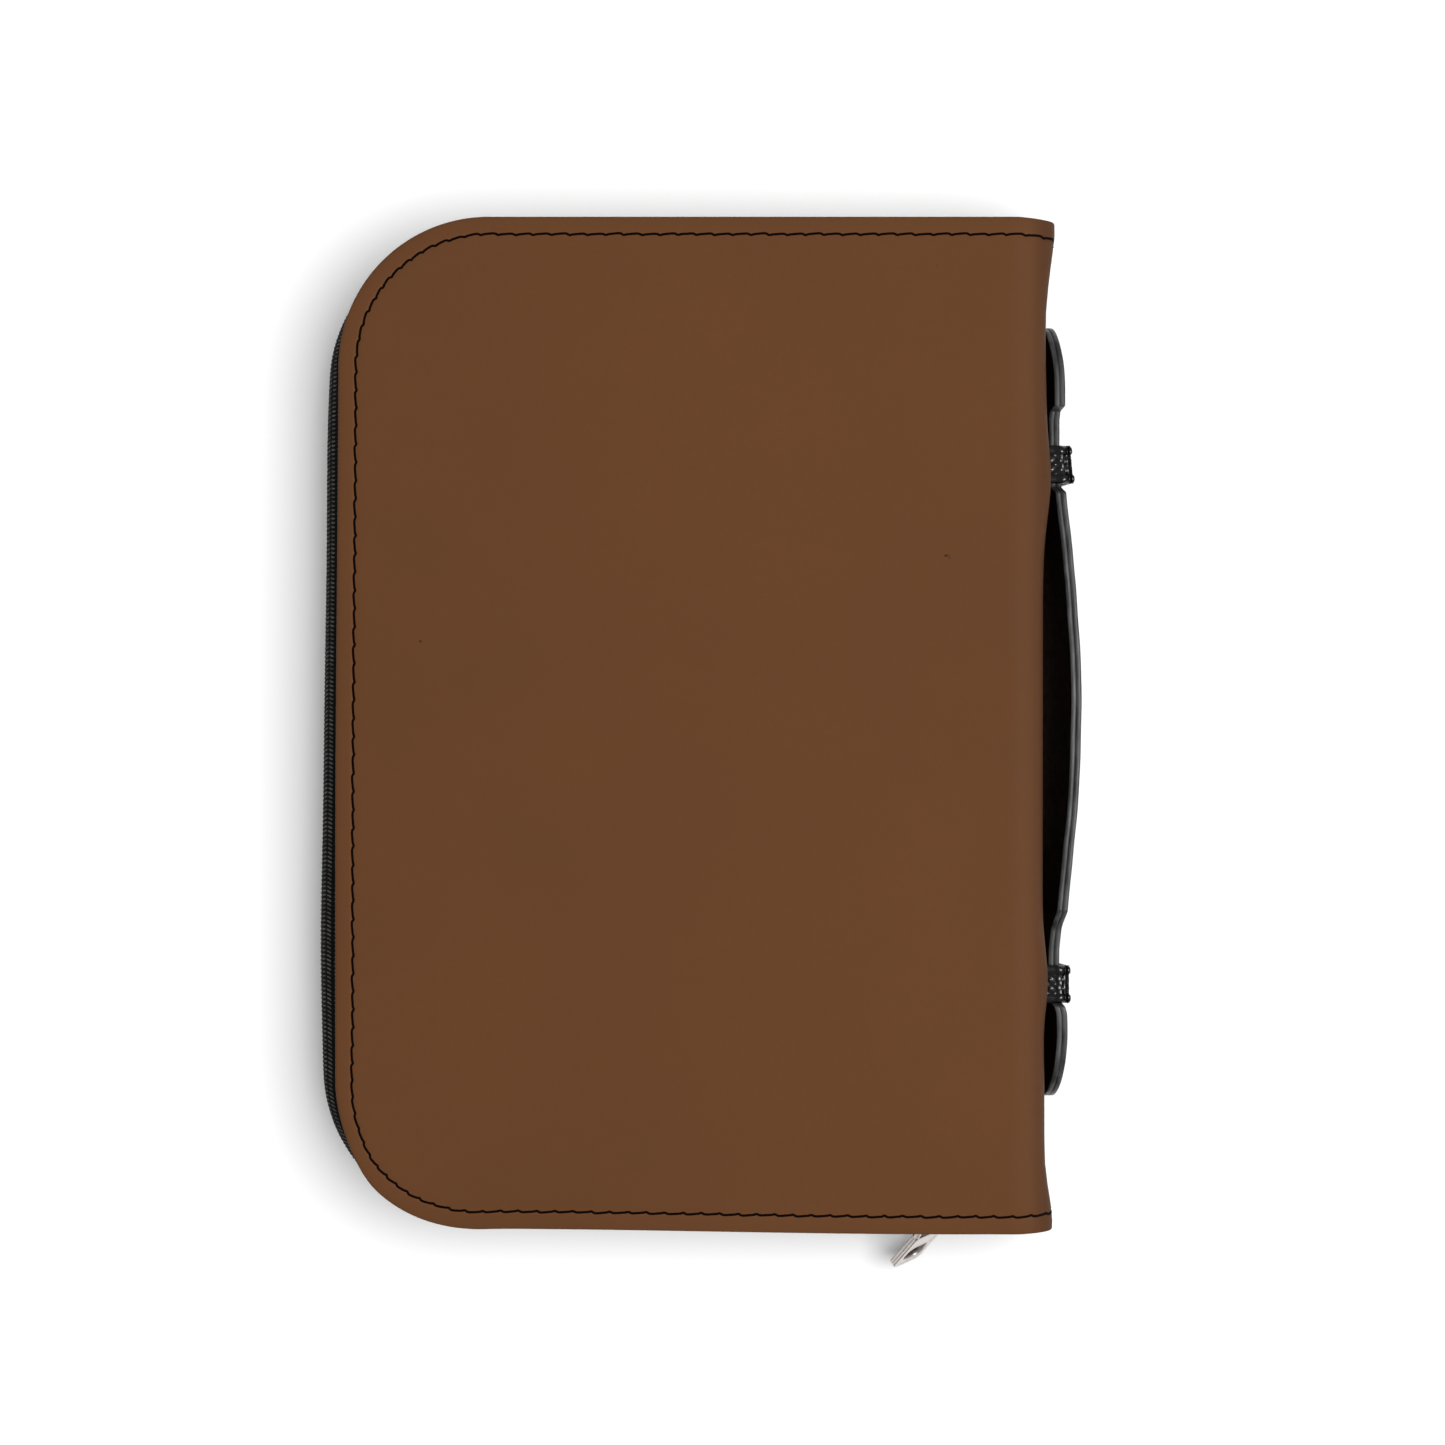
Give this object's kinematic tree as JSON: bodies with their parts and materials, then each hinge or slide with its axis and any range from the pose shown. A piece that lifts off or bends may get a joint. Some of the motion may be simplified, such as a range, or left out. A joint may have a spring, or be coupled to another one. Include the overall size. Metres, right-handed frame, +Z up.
{
  "type": "zippered bible",
  "caption": "Bible in a smooth zippered leather cover with a sliding spine handle; the covers fold open on the spine, the handle slides in its loops and the zip pull travels and swings.",
  "frame": {"origin": "centre of the closed cover's flat back face, on the table", "axes": "+X from the fore edge to the spine, +Y from the foot to the head, +Z up out of the front cover"},
  "size_m": [0.2008, 0.2791, 0.045],
  "materials": {
    "cover_leather": "smooth synthetic leather, faint fine grain, low satin sheen",
    "stiffener_board": "plain grey board",
    "lining_fabric": "plain woven lining",
    "sleeve_fabric": "plain woven fabric, bound edge",
    "zip_tape": "ribbed woven zip tape",
    "zip_teeth": "moulded, satin",
    "small_fittings": "black, semi-gloss",
    "backing_steel": "plain pressed steel",
    "black_metal": "gloss black",
    "handle_leather": "black, fine grain, satin edge paint",
    "nickel": "satin nickel plate",
    "bible_paper": "thin leaves, cut edges",
    "book_leather": "pebbled black cover",
    "endpaper": "plain",
    "headband_silk": "twisted silk over a cord"
  },
  "bodies": {
    "back_cover": {"back_skin": "cover_leather", "back_board": "stiffener_board", "back_lining": "lining_fabric", "back_zip_tape": "zip_tape", "back_zip_teeth": "zip_teeth", "back_zip_stops": "small_fittings", "back_sleeve": "sleeve_fabric", "book_back_board": "book_leather", "back_endpaper": "endpaper"},
    "spine": {"spine_skin": "cover_leather", "spine_board": "stiffener_board", "spine_lining": "lining_fabric", "front_fold": "cover_leather", "back_fold": "cover_leather", "upper_handle_loop": "black_metal", "lower_handle_loop": "black_metal", "handle_loop_rivets": "small_fittings", "upper_loop_backing_plate": "backing_steel", "lower_loop_backing_plate": "backing_steel", "text_block": "bible_paper", "book_spine": "book_leather", "headband_top": "headband_silk", "headband_bottom": "headband_silk", "book_front_joint": "book_leather", "book_back_joint": "book_leather"},
    "front_cover": {"front_skin": "cover_leather", "front_board": "stiffener_board", "front_lining": "lining_fabric", "front_zip_tape": "zip_tape", "front_zip_teeth": "zip_teeth", "front_zip_stops": "small_fittings", "front_sleeve": "sleeve_fabric", "book_front_board": "book_leather", "front_endpaper": "endpaper"},
    "front_leaves": {"front_leaves": "bible_paper"},
    "handle": {"handle_inner_leather": "handle_leather", "handle_outer_leather": "handle_leather"},
    "zip_slider": {"zip_slider_body": "nickel", "zip_slider_bail": "nickel"},
    "pull_tab": {"zip_pull_tab": "nickel"}
  },
  "joints": [
    {"name": "back_cover_fold", "type": "hinge", "parent": "back_cover", "child": "spine", "pos_m": [0.0875, 0, 0.0041], "axis": [0, 1, 0], "range_deg": [0, 16], "deforming": ["back_fold", "book_back_joint"]},
    {"name": "front_cover_fold", "type": "hinge", "parent": "spine", "child": "front_cover", "pos_m": [0.0875, 0, 0.0409], "axis": [0, 1, 0], "range_deg": [0, 175], "deforming": ["front_fold", "book_front_joint"]},
    {"name": "front_leaves_turn", "type": "hinge", "parent": "spine", "child": "front_leaves", "pos_m": [0.0875, 0, 0.0409], "axis": [0, 1, 0], "range_deg": [0, 168.5]},
    {"name": "handle_slide", "type": "slide", "parent": "spine", "child": "handle", "axis": [0, 1, 0], "range_m": [-0.009, 0]},
    {"name": "slider_travel", "type": "slide", "parent": "back_cover", "child": "zip_slider", "axis": [-1, 0, 0], "range_m": [0, 0.111]},
    {"name": "pull_tab_swing", "type": "hinge", "parent": "zip_slider", "child": "pull_tab", "pos_m": [0.0664, -0.1322, 0.0225], "axis": [-0.7436, -0.2146, 0.6332], "range_deg": [0, 80]}
  ],
  "couplings": [
    {"joint": "front_leaves_turn", "follows": "front_cover_fold", "ratio": 0.96}
  ]
}
